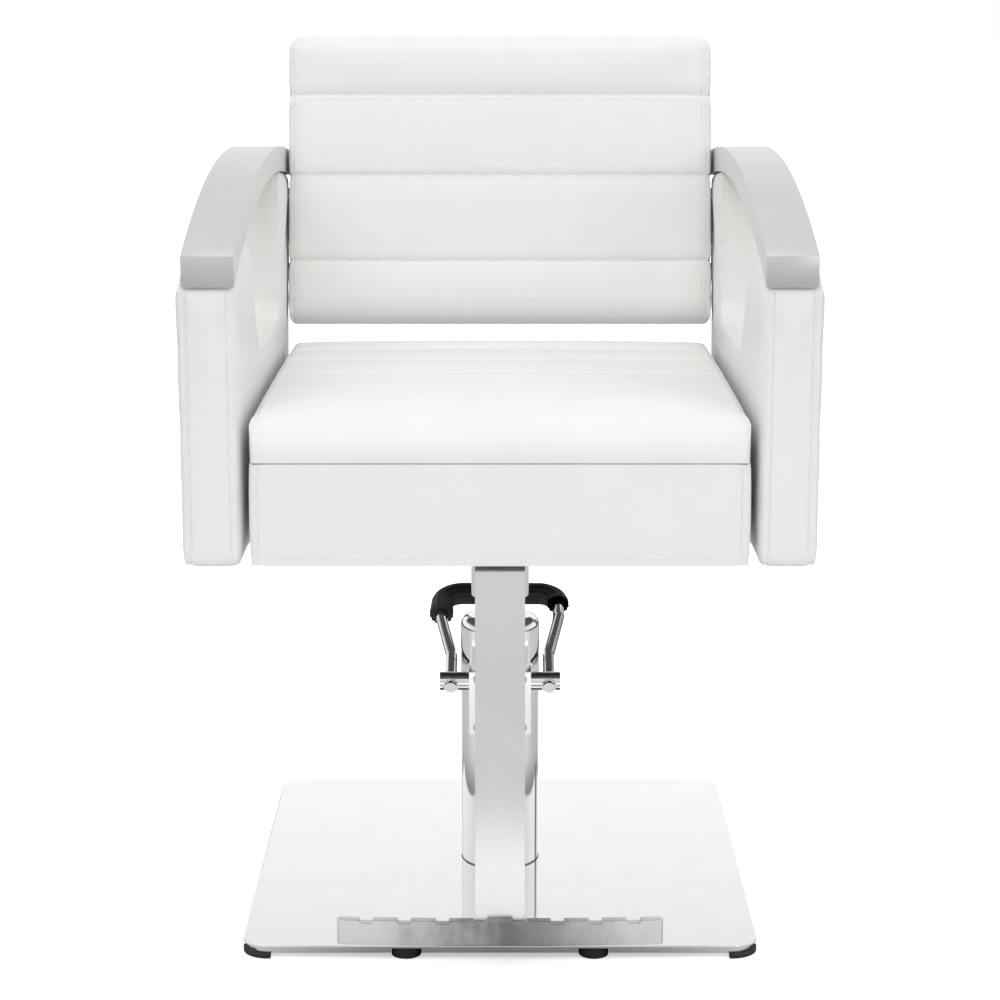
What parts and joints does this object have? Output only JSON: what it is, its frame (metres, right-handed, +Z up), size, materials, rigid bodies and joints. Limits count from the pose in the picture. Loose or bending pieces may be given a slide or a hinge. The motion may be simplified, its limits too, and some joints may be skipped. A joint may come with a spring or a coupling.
{
  "type": "hydraulic styling chair",
  "caption": "Salon styling chair with padded seat, channelled backrest, metal-capped arms, hydraulic lift column with foot pedal, footrest and square base plate.",
  "frame": {"origin": "on the lift column's axis, at the floor, where the centre pad rests", "axes": "+Z up, -Y towards the front of the chair, +X to the viewer's right when facing its front"},
  "size_m": [0.655, 0.725, 0.9461],
  "materials": {
    "polished_steel": "mirror polished stainless sheet",
    "chrome": "bright chrome plating",
    "satin_aluminium": "satin brushed",
    "brushed_steel": "brushed along its length",
    "plain_steel": "zinc plated",
    "black_iron": "black enamel",
    "cast_iron": "rough cast and oiled",
    "brass": "machined",
    "black_rubber": "moulded, matt",
    "white_vinyl": "white vinyl-coated upholstery fabric over foam, stitched",
    "plywood": "birch plywood"
  },
  "bodies": {
    "base": {"base_cover": "polished_steel", "ballast_plate": "cast_iron", "corner_pads": "black_rubber", "round_feet": "black_rubber", "centre_pad": "black_rubber", "pump_flange": "black_iron", "flange_bolts": "plain_steel", "pump_tube": "chrome", "foot_valve": "brass", "pressure_cylinder": "plain_steel", "pump_head": "chrome", "pump_front_cover": "chrome", "front_cover_screws": "plain_steel", "guide_bush": "brass", "wiper_seal": "black_rubber", "pedal_springs": "plain_steel"},
    "ram": {"lift_ram": "chrome", "piston": "plain_steel", "piston_seal": "black_rubber"},
    "pedal": {"cross_shaft": "chrome", "pump_finger": "cast_iron", "pedal_rod": "chrome", "pedal_grip": "black_rubber", "rod_set_screws": "black_iron"},
    "plunger": {"plunger": "plain_steel", "plunger_seal": "black_rubber"},
    "chair": {"thrust_bearing": "plain_steel", "swivel_collar": "chrome", "mount_plate": "black_iron", "mount_bolts": "plain_steel", "seat_board": "plywood", "seat_frame": "plywood", "seat_deck": "plywood", "seat_skirt": "white_vinyl", "seat_cushion": "white_vinyl", "footrest_stem": "brushed_steel", "foot_bar": "brushed_steel", "footrest_bolts": "plain_steel", "back_pad": "white_vinyl", "back_board": "plywood", "back_cover": "white_vinyl", "left_arm_frame": "plywood", "left_arm_pad": "white_vinyl", "left_arm_cap": "satin_aluminium", "right_arm_frame": "plywood", "right_arm_pad": "white_vinyl", "right_arm_cap": "satin_aluminium", "arm_spacers": "black_rubber", "arm_bolts": "plain_steel", "back_bolts": "plain_steel", "cap_screws": "plain_steel"}
  },
  "joints": [
    {"name": "lift", "type": "slide", "parent": "base", "child": "ram", "axis": [0, 0, 1], "range_m": [0, 0.15]},
    {"name": "swivel", "type": "hinge", "parent": "ram", "child": "chair", "pos_m": [0, 0, 0.414], "axis": [0, 0, 1], "continuous": true},
    {"name": "pedal_pivot", "type": "hinge", "parent": "base", "child": "pedal", "pos_m": [0, -0.048, 0.2408], "axis": [-1, 0, 0], "range_deg": [0, 22], "stiffness_Nm_per_rad": 8, "springref_deg": -28.65},
    {"name": "plunger_slide", "type": "slide", "parent": "base", "child": "plunger", "axis": [0, 0, 1], "range_m": [-0.0005, 0.0098]}
  ],
  "couplings": [
    {"joint": "plunger_slide", "follows": "pedal_pivot", "m_per_rad": 0.0238}
  ]
}
